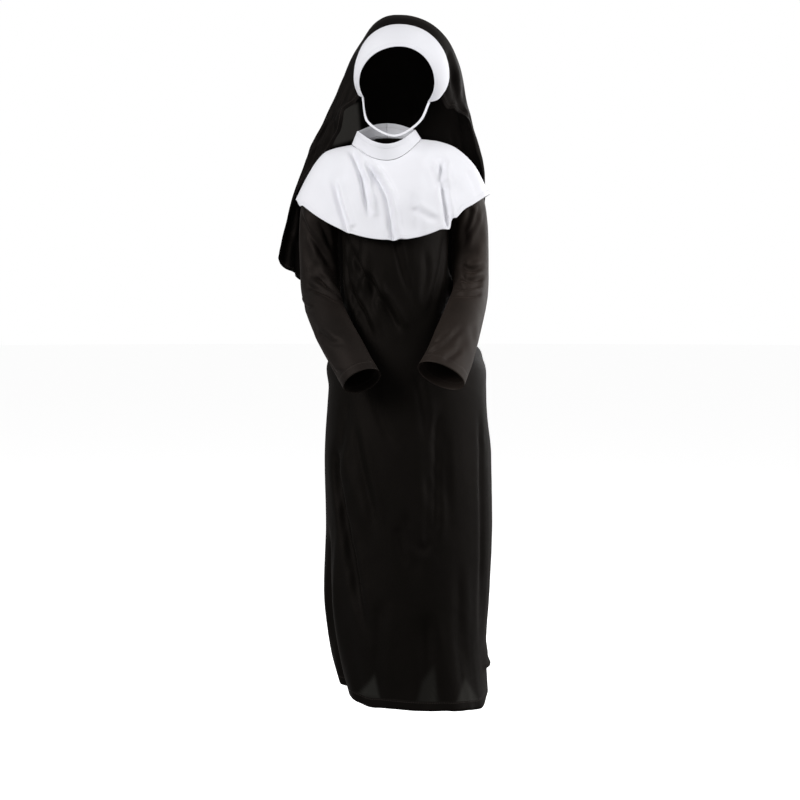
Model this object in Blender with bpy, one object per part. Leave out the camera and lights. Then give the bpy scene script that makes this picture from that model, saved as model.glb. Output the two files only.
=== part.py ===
# Religious habit for a child, hollow as if worn: long gown with two sleeves, white cape with a stand
# collar, and a headpiece of a white coif band, a chin strap and a black veil.
# +X is the viewer's right, -Y is the front, +Z is up. The origin is the middle of the neck base.
# Tables are in millimetres and degrees, and millimetres turn to metres when a mesh is made.

import math
from collections import namedtuple

import bmesh
import bpy
import numpy as np

METRE = 0.001

# Small steps, in degrees, shares of an arch and table rows, that a surface's slope is read over
ANGLE_NUDGE = 0.5
SHARE_NUDGE = 0.004
ROW_NUDGE = 0.02

# Cloth thickness and the gap at every seam
GOWN_WALL = 1.4
WHITE_WALL = 1.4
VEIL_WALL = 1.2
SEAM = 0.3
REST_GAP = 0.6

# How finely each piece is divided
FRONT_COLUMNS = 32
BACK_COLUMNS = 22
ARMHOLE_STEPS = 8
SLEEVE_ROWS_PER_RING = 2
CAPE_COLUMNS = 40
CAPE_ROWS = 8
COLLAR_COLUMNS = 28
VEIL_COLUMNS = 36
VEIL_ROWS_PER_ARCH = 2
COIF_ROWS = 4
STRAP_STEPS = 22

# Gown sections from the yoke to the hem. left, right, front and back are the reach of the section,
# side_y is where its sides are widest, mid_front and mid_back are where its front and back reach
# furthest, and square is the power of the curve (2 is an ellipse).
GownRow = namedtuple(
    "GownRow",
    "z_front z_left z_right z_back left right front back side_y mid_front mid_back square",
)
GOWN_ROWS = [
    GownRow(-62, -3, 5, -16, -86, 82, -58, 66, 4, -5, -2, 2.0),
    GownRow(-92, -13, -9, -50, -106, 110, -68, 76, 5, -3, 0, 2.0),
    GownRow(-128, -68, -65, -104, -98, 107, -79, 80, 5, 0, 0, 2.1),
    GownRow(-162, -125, -122, -148, -88, 99, -84, 80, 4, 3, 2, 2.2),
    GownRow(-204, -200, -200, -200, -85, 98, -85, 78, 4, 5, 5, 2.3),
    GownRow(-270, -270, -270, -270, -85, 101, -83, 76, 8, 6, 6, 2.3),
    GownRow(-315, -315, -315, -315, -93, 118, -86, 84, 18, 8, 8, 2.2),
    GownRow(-350, -350, -350, -350, -106, 157, -93, 94, 24, 12, 14, 2.2),
    GownRow(-430, -430, -430, -430, -113, 172, -104, 106, 20, 22, 24, 2.2),
    GownRow(-540, -540, -540, -540, -119, 175, -115, 112, 15, 30, 27, 2.2),
    GownRow(-650, -650, -650, -650, -117, 177, -122, 116, 15, 36, 27, 2.2),
    GownRow(-770, -770, -770, -770, -121, 173, -130, 122, 22, 45, 25, 2.2),
    GownRow(-870, -869, -869, -868, -111, 167, -138, 130, 32, 66, 20, 2.3),
    GownRow(-951, -942, -949, -947, -97, 171, -146, 136, 52, 92, 20, 2.4),
]
# The gown's rows above the armhole, where 0 is the neckline and 1 the first row of the table
YOKE_PLACES = (0, 0.5, 1, 1.5)
SHOULDER_ROW = 1
UNDERARM_ROW = 3
# The hem rises over these angles by these amounts
HemLift = namedtuple("HemLift", "angle spread lift")
HEM_LIFTS = [HemLift(-82, 18, 14), HemLift(119, 12, 24)]
HEM_LIFT_HEIGHT = 90
# The gown's neckline rests under the cape, this far down from the cape's first row
NECK_SEAT = 0.1
SIDE_SEAM_ANGLE = 90
# Half depth of the armhole to the front and to the back of the side seam
ARMHOLE_FRONT = 46
ARMHOLE_BACK = 42
# Longest step between two rows of the skirt
SKIRT_STEP = 42
# Share of a fold's length over which it fades in and out
FOLD_FADE = 0.3

# A fold runs from (z_top, angle_top) to (z_low, angle_low), where 0 is the front, 90 the viewer's
# right and 180 the back. height is negative for a trough. open_low keeps its depth to the hem.
Fold = namedtuple("Fold", "z_top angle_top z_low angle_low height width open_low")
GOWN_FOLDS = [
    Fold(-160, -58, -300, -2, -7, 9, 0),
    Fold(-165, -46, -300, 10, 4, 9, 0),
    Fold(-175, -68, -310, -30, -6, 9, 0),
    Fold(-155, 2, -265, 19, -2.5, 7, 0),
    Fold(-395, -40, -600, -62, -5, 13, 0),
    Fold(-480, -56, -670, -22, 4, 12, 0),
    Fold(-520, -60, -790, -34, -8, 13, 0),
    Fold(-640, -76, -952, -66, -17, 13, 1),
    Fold(-640, -58, -952, -52, 6, 13, 1),
    Fold(-430, 22, -640, 20, -6, 11, 0),
    Fold(-470, 12, -620, 12, -3, 8, 0),
    Fold(-630, -8, -740, 2, -3.5, 12, 0),
    Fold(-450, 60, -880, 58, -5, 11, 0),
    Fold(-780, 2, -952, 0, -4, 14, 1),
    Fold(-800, 34, -952, 36, -4, 14, 1),
    Fold(-850, 118, -952, 120, 20, 15, 1),
    Fold(-180, 150, -640, 146, -6, 13, 0),
    Fold(-200, -158, -560, -150, -6, 13, 0),
    Fold(-420, 170, -952, 168, -9, 15, 1),
    Fold(-520, -128, -952, -124, -9, 15, 1),
    Fold(-560, 134, -952, 138, -8, 14, 1),
    Fold(-640, -164, -952, -160, -7, 14, 1),
    Fold(-500, 98, -860, 96, -5, 12, 0),
]

# Sleeve sections from the shoulder to the cuff: the outer and the inner point of each ring, and
# how far it reaches to the front and the back.
SleeveRing = namedtuple("SleeveRing", "outer inner depth")
LEFT_SLEEVE = [
    SleeveRing((-126, 4, -27), (-93, 3, -136), 45),
    SleeveRing((-146, 6, -58), (-94, 4, -150), 43),
    SleeveRing((-160, 9, -105), (-95, 3, -168), 40),
    SleeveRing((-162, 12, -160), (-93, 0, -192), 37),
    SleeveRing((-160, 10, -207), (-92, -8, -215), 35),
    SleeveRing((-157, 0, -245), (-90, -26, -243), 34),
    SleeveRing((-149, -28, -275), (-82, -60, -268), 33),
    SleeveRing((-135, -62, -311), (-67, -95, -298), 33),
    SleeveRing((-118, -95, -343), (-52, -123, -323), 33),
    SleeveRing((-97, -125, -377), (-37, -145, -350), 32),
    SleeveRing((-77, -155, -411), (-21, -165, -376), 31),
]
RIGHT_SLEEVE = [
    SleeveRing((129, 4, -24), (104, 3, -135), 45),
    SleeveRing((149, 6, -53), (105, 4, -149), 43),
    SleeveRing((163, 9, -96), (104, 3, -164), 40),
    SleeveRing((168, 12, -148), (104, 0, -182), 37),
    SleeveRing((168, 10, -190), (105, -8, -203), 35),
    SleeveRing((166, 0, -231), (107, -26, -230), 34),
    SleeveRing((161, -30, -268), (99, -62, -256), 33),
    SleeveRing((151, -65, -305), (88, -97, -281), 33),
    SleeveRing((141, -98, -340), (76, -125, -307), 33),
    SleeveRing((131, -126, -374), (62, -146, -337), 32),
    SleeveRing((119, -155, -404), (45, -165, -365), 31),
]
# A sleeve fold runs from (ring_top, angle_top) to (ring_low, angle_low). Angle 0 is the outer side
# of the arm and 90 its front.
SleeveFold = namedtuple("SleeveFold", "ring_top angle_top ring_low angle_low height width")
LEFT_SLEEVE_FOLDS = [
    SleeveFold(2.2, 10, 6.2, 118, -4, 9),
    SleeveFold(2.6, 80, 5.0, 150, -3.5, 8),
    SleeveFold(5.3, 60, 6.0, 130, -3.5, 8),
    SleeveFold(6.4, 50, 6.9, 125, -3, 8),
    SleeveFold(7.4, 20, 9.4, 70, -3, 8),
    SleeveFold(3.0, 250, 7.0, 200, -4, 9),
]
RIGHT_SLEEVE_FOLDS = [
    SleeveFold(2.4, 40, 5.4, 150, -4, 9),
    SleeveFold(2.2, 20, 5.6, 120, -3, 8),
    SleeveFold(5.0, 70, 5.9, 160, -4, 8),
    SleeveFold(6.2, 60, 6.9, 165, -4, 8),
    SleeveFold(8.2, 30, 10.4, 130, -3, 8),
    SleeveFold(3.0, 250, 7.0, 200, -4, 9),
]

# Cape sections from the neck seam to the hem
CapeRow = namedtuple("CapeRow", "z_front z_left z_right z_back left right front back mid side_y square")
CAPE_ROWS_TABLE = [
    CapeRow(-21, 10, 20, 30, -70, 51, -52, 50, -8, 2, 2.0),
    CapeRow(-50, 6, 17, 8, -93, 79, -68, 70, -6, 5, 2.0),
    CapeRow(-82, -3, 6, -30, -118, 111, -82, 86, -4, 9, 2.0),
    CapeRow(-120, -37, -26, -76, -144, 145, -93, 99, -2, 10, 2.1),
    CapeRow(-158, -84, -75, -125, -168, 170, -102, 108, 0, 10, 2.1),
]
# A cape fold runs from (row_top, angle_top) to (row_low, angle_low), past 4 where it meets the hem
CapeFold = namedtuple("CapeFold", "row_top angle_top row_low angle_low height width")
CAPE_FOLDS = [
    CapeFold(0.5, -36, 2.8, -13, -4, 10),
    CapeFold(0.7, -22, 4.2, -1, -6, 10),
    CapeFold(1.2, -50, 4.2, -34, -5, 12),
    CapeFold(0.9, 52, 3.2, 24, -3, 9),
    CapeFold(0.8, 62, 4.2, 36, -7, 7),
    CapeFold(2.4, 30, 4.2, 21, 3, 9),
    CapeFold(2.6, 6, 4.2, 12, -3, 9),
    CapeFold(1.2, 128, 4.2, 134, -5, 12),
    CapeFold(1.2, -118, 4.2, -126, -5, 12),
    CapeFold(1.6, 158, 4.2, 160, -4, 12),
]
# The hem steps up beside the notch, and comes down again over the shoulder
CAPE_NOTCH_ANGLE = 37
CAPE_NOTCH_LIFT = 11
CAPE_NOTCH_RISE = 3
CAPE_NOTCH_REACH = 45
CAPE_NOTCH_FALL = 40

# Top edge of the stand collar. One degree of its neck seam is about this long.
COLLAR_DEGREE = 0.9
COLLAR_TOP = CapeRow(7, 34, 36, 52, -60, 41, -56, 44, -9, 0, 2.0)

# Arches of the veil, from its front edge over the crown down to its hem. Each arch lies in a plane
# pitched back from upright, wraps past its widest points by wrap_left and wrap_right degrees, and
# its ends rise by lift.
VeilArch = namedtuple(
    "VeilArch", "x y z left right back fore pitch wrap_left wrap_right square lift"
)
VEIL_ARCHES = [
    VeilArch(12, -27, 125, 76, 87, 88, 60, 103, 25, 35, 2.1, 0),
    VeilArch(9, -8, 122, 71, 106, 111, 80, 88, 22, 24, 2.2, 0),
    VeilArch(9, 4, 112, 91, 115, 110, 75, 64, 22, 15, 2.2, 0),
    VeilArch(7, 14, 82, 106, 125, 104, 60, 40, 32, 13, 2.1, 0),
    VeilArch(4, 27, 45, 125, 140, 78, 40, 20, 42, 15, 2.0, 0),
    VeilArch(0, 38, 8, 141.2, 155, 68, 30, 8, 40, 18, 2.0, 0),
    VeilArch(0, 50, -35, 160.3, 164, 61, 20, 3, 25, 12, 2.0, 0),
    VeilArch(0, 58, -80, 178, 165, 53, 15, 0, 12, 8, 2.0, 0),
    VeilArch(-2, 66, -126, 186, 161, 40.2, 12, 0, 6, 5, 2.0, 8),
    VeilArch(-4, 72, -192, 196, 158, 50, 12, 0, 2, 3, 2.0, 26),
    VeilArch(-4, 76, -243, 197, 156, 54, 12, 0, 0, 0, 2.0, 62),
]
# A veil fold runs from (arch_top, angle_top) to (arch_low, angle_low). Angle 0 is the middle of
# the back and 90 the viewer's right.
VeilFold = namedtuple("VeilFold", "arch_top angle_top arch_low angle_low height width open_low")
VEIL_FOLDS = [
    VeilFold(1.2, -96, 6.0, -108, -6, 9, 0),
    VeilFold(1.6, -82, 6.6, -88, 4, 9, 0),
    VeilFold(5.0, -78, 10, -66, -7, 10, 1),
    VeilFold(6.0, -60, 10, -50, -8, 11, 1),
    VeilFold(3.0, -42, 10.5, -34, 7, 13, 1),
    VeilFold(4.0, -16, 10, -18, 6, 13, 1),
    VeilFold(4.2, 24, 10.5, 20, 7, 13, 1),
    VeilFold(2.6, 52, 10.5, 42, 7, 13, 1),
    VeilFold(1.6, 88, 6.4, 84, -5, 10, 0),
    VeilFold(6.0, 66, 10, 62, -6, 11, 1),
]

# Face edge of the coif band, an arch that shares its angles with the veil's front edge
COIF_FACE = VeilArch(13, -58, 110, 69, 60, 65, 60, 119, 27, 36, 2.0, 0)
COIF_BULGE = 5
HEAD_MIDDLE = (10, 0, 110)

# Chin strap, a narrow flat band from one end of the coif to the other
STRAP_WIDTH = 4
STRAP_WALL = 1.2
STRAP_CLEARANCE = 1.1
# Where along the coif's end the strap is sewn, and the way its outer face looks
STRAP_SEWN_AT = 0.85
STRAP_FACING = (0, 0.45, 0.9)
STRAP_LOW = (4, -62, 20)
STRAP_JAW_RIGHT = (50, -58, 48)
STRAP_JAW_LEFT = (-44, -52, 50)

# Colour and roughness of each cloth
BLACK_KNIT = (0.013, 0.011, 0.010, 1)
VEIL_KNIT = (0.009, 0.008, 0.007, 1)
WHITE_KNIT = (0.82, 0.82, 0.85, 1)
BLACK_ROUGHNESS = 0.65
WHITE_ROUGHNESS = 0.78


def smooth_between(keys, at):
    # Cubic curve through evenly spaced keys with level ends, which never overshoots them
    keys = np.asarray(keys, float)
    at = np.clip(np.asarray(at, float), 0, len(keys) - 1)
    step = np.diff(keys, axis=0)
    slope = np.zeros_like(keys)
    same_way = step[:-1] * step[1:] > 0
    total = step[:-1] + step[1:]
    safe = np.where(same_way, total, 1)
    slope[1:-1] = np.where(same_way, 2 * step[:-1] * step[1:] / safe, 0)
    slope[0] = step[0]
    slope[-1] = step[-1]
    low = np.minimum(at.astype(int), len(keys) - 2)
    part = at - low
    if keys.ndim > 1:
        part = part[..., None]
    square, cube = part**2, part**3
    return (
        (2 * cube - 3 * square + 1) * keys[low]
        + (cube - 2 * square + part) * slope[low]
        + (3 * square - 2 * cube) * keys[low + 1]
        + (cube - square) * slope[low + 1]
    )


def row_at(table, at):
    # The table's columns, read between its rows
    values = smooth_between(np.array(table, float), at)
    return type(table[0])(*np.moveaxis(values, -1, 0))


def power(value, exponent):
    return np.sign(value) * np.abs(value) ** exponent


def fade(part, open_low):
    # 0 at a fold's ends and 1 along its middle, or down to the hem where it is open
    rise = np.clip(part / FOLD_FADE, 0, 1)
    fall = np.where(np.asarray(open_low) > 0, 1, np.clip((1 - part) / FOLD_FADE, 0, 1))
    inside = (part >= 0) & ((part <= 1) | (np.asarray(open_low) > 0))
    return np.where(inside, (3 - 2 * rise) * rise**2 * (3 - 2 * fall) * fall**2, 0)


def turn_between(angle, centre):
    # Signed angle from centre, in degrees, the short way round
    return (angle - centre + 180) % 360 - 180


def fold_height(folds, along, angle, reach):
    # Sum of the folds at each point. along is the first and third column's measure.
    total = np.zeros_like(np.asarray(angle, float))
    for top, angle_top, low, angle_low, height, width, *rest in folds:
        open_low = rest[0] if rest else 0
        part = (along - top) / (low - top)
        centre = angle_top + (angle_low - angle_top) * np.clip(part, 0, 1)
        aside = np.radians(turn_between(angle, centre)) * reach
        total += height * np.exp(-((aside / width) ** 2)) * fade(part, open_low)
    return total


def section(row, angle):
    # Point of a section at this angle, where 0 is the front and 90 the viewer's right
    turn = np.radians(angle)
    across = power(np.sin(turn), 2 / row.square)
    ahead = power(np.cos(turn), 2 / row.square)
    middle_x = np.where(ahead > 0, row.mid_front, row.mid_back)
    half_width = np.where(across > 0, row.right - middle_x, middle_x - row.left)
    half_depth = np.where(ahead > 0, row.side_y - row.front, row.back - row.side_y)
    x = middle_x + half_width * across
    y = row.side_y - half_depth * ahead
    z_side = np.where(across > 0, row.z_right, row.z_left)
    z_end = np.where(ahead > 0, row.z_front, row.z_back)
    level = np.cos(turn) ** 2
    z = z_side * (1 - level) + z_end * level
    return np.stack([x, y, z], axis=-1), middle_x


def push_out(points, middle_x, middle_y, distance):
    # Moves points level and away from the middle of their section
    away = points[..., :2] - np.stack([middle_x, middle_y + 0 * middle_x], axis=-1)
    away /= np.linalg.norm(away, axis=-1, keepdims=True)
    moved = points.copy()
    moved[..., :2] += away * distance[..., None]
    return moved


def cape_point(angle, at):
    table = row_at(CAPE_ROWS_TABLE, at)
    ring = GownRow(
        table.z_front, table.z_left, table.z_right, table.z_back, table.left, table.right,
        table.front, table.back, table.side_y, table.mid, table.mid, table.square,
    )
    points, middle_x = section(ring, angle)
    reach = np.hypot(points[..., 0] - middle_x, points[..., 1] - table.side_y)
    distance = fold_height(CAPE_FOLDS, at, angle, reach)
    points = push_out(points, middle_x, table.side_y, distance)
    last = len(CAPE_ROWS_TABLE) - 1
    near_hem = np.clip(at - (last - 1), 0, 1) ** 2
    past_notch = np.clip(turn_between(angle, CAPE_NOTCH_ANGLE) / CAPE_NOTCH_RISE, 0, 1)
    past_notch *= np.clip((CAPE_NOTCH_ANGLE + CAPE_NOTCH_REACH - angle) / CAPE_NOTCH_FALL, 0, 1)
    points[..., 2] += CAPE_NOTCH_LIFT * near_hem * past_notch
    return points


def gown_point(angle, at):
    # at is 0 at the neckline and 1 at the yoke, and counts on through the table to the hem
    below = np.maximum(at - 1, 0)
    row = row_at(GOWN_ROWS, below)
    points, middle_x = section(row, angle)
    reach = np.hypot(points[..., 0] - middle_x, points[..., 1] - row.side_y)
    distance = fold_height(GOWN_FOLDS, points[..., 2], angle, reach)
    points = push_out(points, middle_x, row.side_y, distance)
    near_hem = np.clip((points[..., 2] - GOWN_ROWS[-1].z_front) / HEM_LIFT_HEIGHT, 0, 1)
    for lifted in HEM_LIFTS:
        share = np.exp(-((turn_between(angle, lifted.angle) / lifted.spread) ** 2))
        points[..., 2] += lifted.lift * share * (1 - near_hem) ** 2
    neck, normal = with_normals(cape_point, angle, 0 * at + NECK_SEAT)
    neck = neck - normal * (WHITE_WALL + REST_GAP)
    share = np.clip(at, 0, 1)[..., None]
    return np.where(share < 1, neck * (1 - share) + points * share, points)


def with_normals(surface, angle, at):
    # Points of a surface and their outward normals, from small steps either way
    angle = np.asarray(angle, float)
    at = np.asarray(at, float) + 0 * angle
    turn, move = ANGLE_NUDGE, ROW_NUDGE
    around = surface(angle + turn, at) - surface(angle - turn, at)
    down = surface(angle, at + move) - surface(angle, at - move)
    normal = np.cross(down, around)
    normal /= np.linalg.norm(normal, axis=-1, keepdims=True)
    return surface(angle, at), normal


def grid_normals(grid, around):
    # Normals of a grid of points, from each point's neighbours
    if around:
        across = np.roll(grid, -1, axis=1) - np.roll(grid, 1, axis=1)
    else:
        across = np.gradient(grid, axis=1)
    down = np.gradient(grid, axis=0)
    normal = np.cross(down, across)
    return normal / np.linalg.norm(normal, axis=-1, keepdims=True)


def wall_object(name, outer, inner, material, around=False):
    # A closed wall between two grids of points. Both faces share their diagonals.
    rows, columns = outer.shape[:2]
    mesh = bmesh.new()
    skins = []
    for grid in (outer, inner):
        skins.append([[mesh.verts.new(point * METRE) for point in row] for row in grid])
    last = columns if around else columns - 1
    for skin in skins:
        for i in range(rows - 1):
            for j in range(last):
                k = (j + 1) % columns
                a, b, c, d = skin[i][j], skin[i + 1][j], skin[i + 1][k], skin[i][k]
                mesh.faces.new((a, b, c))
                mesh.faces.new((a, c, d))
    top, low = skins
    for j in range(last):
        k = (j + 1) % columns
        for i in (0, rows - 1):
            mesh.faces.new((top[i][j], top[i][k], low[i][k], low[i][j]))
    if not around:
        for i in range(rows - 1):
            for j in (0, columns - 1):
                mesh.faces.new((top[i][j], top[i + 1][j], low[i + 1][j], low[i][j]))
    bmesh.ops.recalc_face_normals(mesh, faces=mesh.faces)
    data = bpy.data.meshes.new(name)
    mesh.to_mesh(data)
    mesh.free()
    data.shade_smooth()
    data.set_sharp_from_angle(angle=math.radians(50))
    data.materials.append(material)
    piece = bpy.data.objects.new(name, data)
    bpy.context.scene.collection.objects.link(piece)
    return piece


def cloth_material(name, colour, roughness):
    material = bpy.data.materials.new(name)
    material.use_nodes = True
    shader = material.node_tree.nodes["Principled BSDF"]
    shader.inputs["Base Color"].default_value = colour
    shader.inputs["Roughness"].default_value = roughness
    shader.inputs["Metallic"].default_value = 0
    return material


def armhole_stations():
    # Table positions of the gown's rows down the armhole, evenly spaced round its edge
    fine = np.linspace(SHOULDER_ROW, UNDERARM_ROW, 400)
    levels = row_at(GOWN_ROWS, fine).z_left
    top, low = levels[0], levels[-1]
    turns = np.pi * np.arange(ARMHOLE_STEPS + 1) / ARMHOLE_STEPS
    wanted = (top + low) / 2 + (top - low) / 2 * np.cos(turns)
    places = np.interp(-wanted, -levels, fine)
    return places + 1, turns


def armhole_edges(at, turn):
    # Angles, counted from the front, where the armhole cuts the front and the back panel
    row = row_at(GOWN_ROWS, at - 1)
    open_front = ARMHOLE_FRONT * math.sin(turn) / (row.side_y - row.front)
    open_back = ARMHOLE_BACK * math.sin(turn) / (row.back - row.side_y)
    front = math.degrees(math.acos(max(open_front, 0) ** (row.square / 2)))
    back = 180 - math.degrees(math.acos(max(open_back, 0) ** (row.square / 2)))
    return front, back


def gown_rows():
    # Positions of all rows of the gown's panels, with the panel edges at each
    places, turns = armhole_stations()
    rows = [(at, SIDE_SEAM_ANGLE, SIDE_SEAM_ANGLE) for at in YOKE_PLACES]
    for at, turn in zip(places, turns):
        rows.append((at,) + armhole_edges(at, turn))
    fine = np.linspace(UNDERARM_ROW, len(GOWN_ROWS) - 1, 2000)
    levels = row_at(GOWN_ROWS, fine).z_front
    count = round((levels[0] - levels[-1]) / SKIRT_STEP)
    for level in np.linspace(levels[0], levels[-1], count + 1)[1:]:
        at = float(np.interp(-level, -levels, fine)) + 1
        rows.append((at, SIDE_SEAM_ANGLE, SIDE_SEAM_ANGLE))
    return rows


def gown_panel(name, columns, is_front, material):
    angles, places = [], []
    for at, front_edge, back_edge in gown_rows():
        half = front_edge if is_front else 180 - back_edge
        middle = 0 if is_front else 180
        ahead, beside = gown_point(np.array([SIDE_SEAM_ANGLE + 1.0, SIDE_SEAM_ANGLE]), np.array([at, at]))
        step = np.linalg.norm(ahead - beside)
        if half > SIDE_SEAM_ANGLE - ANGLE_NUDGE:
            half = SIDE_SEAM_ANGLE - SEAM / 2 / step
        angles.append(middle + np.linspace(-half, half, columns + 1))
        places.append(np.full(columns + 1, at))
    outer, normal = with_normals(gown_point, np.array(angles), np.array(places))
    return wall_object(name, outer, outer - normal * GOWN_WALL, material)


def armhole_ring(side):
    # The armhole's edge, from the shoulder down the front and up the back, closed in by the seam
    places, turns = armhole_stations()
    edges = [armhole_edges(at, turn) for at, turn in zip(places, turns)]
    down = [(at, edge[0]) for at, edge in zip(places, edges)]
    up = [(at, edge[1]) for at, edge in zip(places, edges)][-2:0:-1]
    ring = np.array([gown_point(np.array(side * angle), np.array(at)) for at, angle in down + up])
    middle = ring.mean(axis=0)
    inward = middle - ring
    inward[:, 0] = 0
    inward /= np.linalg.norm(inward, axis=1, keepdims=True)
    return ring + inward * SEAM


def sleeve_rings(side, table):
    # Each ring of the table as points, starting at its outer side and going round by the front
    count = 2 * ARMHOLE_STEPS
    turns = 2 * np.pi * np.arange(count) / count
    outer = np.array([ring.outer for ring in table], float)
    inner = np.array([ring.inner for ring in table], float)
    centre = (outer + inner) / 2
    across = (outer - inner) / 2
    along = np.gradient(centre, axis=0)
    front = np.cross(along, across) * side
    front /= np.linalg.norm(front, axis=1, keepdims=True)
    depth = np.array([ring.depth for ring in table], float)
    rings = [armhole_ring(side)]
    for c, a, f, d in zip(centre, across, front, depth):
        rings.append(c + np.cos(turns)[:, None] * a + np.sin(turns)[:, None] * f * d)
    return np.array(rings)


def sleeve(name, side, table, folds, material):
    rings = sleeve_rings(side, table)
    at = np.linspace(0, len(rings) - 1, (len(rings) - 1) * SLEEVE_ROWS_PER_RING + 1)
    grid = smooth_between(rings.reshape(len(rings), -1), at).reshape(len(at), -1, 3)
    count = grid.shape[1]
    angle = 360 * np.arange(count)[None, :] / count + np.zeros((len(at), 1))
    centre = grid.mean(axis=1, keepdims=True)
    reach = np.linalg.norm(grid - centre, axis=2)
    height = fold_height(folds, at[:, None] + 0 * angle, angle, reach)
    away = (grid - centre) / reach[..., None]
    outer = grid + away * height[..., None]
    normal = grid_normals(outer, True)
    if np.sum(normal * away) < 0:
        normal = -normal
    return wall_object(name, outer, outer - normal * GOWN_WALL, material, around=True)


def open_ring(columns, surface_step):
    # Angles once round from the middle of the back, open there by the seam gap
    gap = SEAM / 2 / surface_step
    return np.linspace(-180 + gap, 180 - gap, columns + 1)


def cape(material):
    ahead, beside = cape_point(np.array([181.0, 180.0]), np.array([0.0, 0.0]))
    step = np.linalg.norm(ahead - beside)
    last = len(CAPE_ROWS_TABLE) - 1
    angle, at = np.meshgrid(open_ring(CAPE_COLUMNS, step), np.linspace(0, last, CAPE_ROWS + 1))
    outer, normal = with_normals(cape_point, angle, at)
    return wall_object("cape", outer, outer - normal * WHITE_WALL, material)


def collar(material):
    angle = open_ring(COLLAR_COLUMNS, COLLAR_DEGREE)
    base, normal = with_normals(cape_point, angle, 0 * angle)
    top = GownRow(
        COLLAR_TOP.z_front, COLLAR_TOP.z_left, COLLAR_TOP.z_right, COLLAR_TOP.z_back, COLLAR_TOP.left,
        COLLAR_TOP.right, COLLAR_TOP.front, COLLAR_TOP.back, COLLAR_TOP.side_y, COLLAR_TOP.mid,
        COLLAR_TOP.mid, COLLAR_TOP.square,
    )
    edge, _ = section(top, angle)
    rise = edge - base
    rise /= np.linalg.norm(rise, axis=1, keepdims=True)
    low = base + rise * SEAM + np.array([0, 0, SEAM])
    outer = np.array([low * (1 - part) + edge * part for part in (0, 0.5, 1)])
    normal = grid_normals(outer, False)
    middle = outer.mean(axis=(0, 1))
    if np.sum(normal * (outer - middle)) < 0:
        normal = -normal
    return wall_object("collar_stand", outer, outer - normal * WHITE_WALL, material)


def arch_point(arch, share):
    # Point of an arch, where share runs from -1 at its left end over 0 at its top to 1 at its right
    wrap = np.where(share < 0, arch.wrap_left, arch.wrap_right)
    angle = share * (90 + wrap)
    turn = np.radians(angle)
    across = power(np.sin(turn), 2 / arch.square)
    ahead = power(np.cos(turn), 2 / arch.square)
    width = np.where(share < 0, arch.left, arch.right)
    depth = np.where(ahead > 0, arch.back, arch.fore)
    pitch = np.radians(arch.pitch)
    x = arch.x + width * across
    y = arch.y + depth * ahead * np.cos(pitch)
    z = arch.z + depth * ahead * np.sin(pitch) + arch.lift * np.abs(np.sin(turn)) ** 6
    return np.stack([x, y, z], axis=-1), angle


def veil_point(share, at):
    arch = row_at(VEIL_ARCHES, at)
    points, angle = arch_point(arch, share)
    middle = np.stack([arch.x, arch.y, arch.z], axis=-1) + 0 * points
    away = points - middle
    reach = np.linalg.norm(away, axis=-1)
    height = fold_height(VEIL_FOLDS, at, angle, reach)
    return points + away / reach[..., None] * height[..., None]


def veil_normals(share, at):
    turn, move = SHARE_NUDGE, ROW_NUDGE
    around = veil_point(share + turn, at) - veil_point(share - turn, at)
    down = veil_point(share, at + move) - veil_point(share, at - move)
    normal = np.cross(around, down)
    return normal / np.linalg.norm(normal, axis=-1, keepdims=True)


def veil(material):
    shares = np.linspace(-1, 1, VEIL_COLUMNS + 1)
    last = len(VEIL_ARCHES) - 1
    share, at = np.meshgrid(shares, np.linspace(0, last, last * VEIL_ROWS_PER_ARCH + 1))
    outer = veil_point(share, at)
    normal = veil_normals(share, at)
    if normal[0, VEIL_COLUMNS // 2, 2] < 0:
        normal = -normal
    return wall_object("veil", outer, outer - normal * VEIL_WALL, material)


def coif_edges():
    # The seam edge beside the veil's front edge, and the face edge
    shares = np.linspace(-1, 1, VEIL_COLUMNS + 1)
    edge = veil_point(shares, 0 * shares)
    ahead = edge - veil_point(shares, 0 * shares + 0.05)
    ahead /= np.linalg.norm(ahead, axis=1, keepdims=True)
    face, _ = arch_point(COIF_FACE, shares)
    return edge + ahead * SEAM, face


def coif(material):
    seam_edge, face = coif_edges()
    rows = []
    for part in np.linspace(0, 1, COIF_ROWS + 1):
        points = seam_edge * (1 - part) + face * part
        away = points - np.array(HEAD_MIDDLE, float)
        away /= np.linalg.norm(away, axis=1, keepdims=True)
        rows.append(points + away * COIF_BULGE * 4 * part * (1 - part))
    outer = np.array(rows)
    normal = grid_normals(outer, False)
    if np.sum(normal * (outer - np.array(HEAD_MIDDLE, float))) < 0:
        normal = -normal
    return wall_object("coif_band", outer, outer - normal * WHITE_WALL, material)


def chin_strap(material):
    seam_edge, face = coif_edges()
    keys = []
    for end in (0, -1):
        middle = face[end] * STRAP_SEWN_AT + seam_edge[end] * (1 - STRAP_SEWN_AT)
        inward = face[end] - face[end + 1 if end == 0 else end - 1]
        inward /= np.linalg.norm(inward)
        keys.append(middle + inward * STRAP_CLEARANCE)
    path = np.array([keys[0], STRAP_JAW_LEFT, STRAP_LOW, STRAP_JAW_RIGHT, keys[1]], float)
    at = np.linspace(0, len(path) - 1, STRAP_STEPS + 1)
    line = smooth_between(path, at)
    along = np.gradient(line, axis=0)
    along /= np.linalg.norm(along, axis=1, keepdims=True)
    across = np.cross(along, np.array(STRAP_FACING, float))
    across /= np.linalg.norm(across, axis=1, keepdims=True)
    across = np.cross(across, along)
    out = np.cross(along, across)
    outer = np.stack([line - across * STRAP_WIDTH / 2, line + across * STRAP_WIDTH / 2], axis=1)
    inner = outer - out[:, None, :] * STRAP_WALL
    return wall_object("chin_strap", outer, inner, material)


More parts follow.
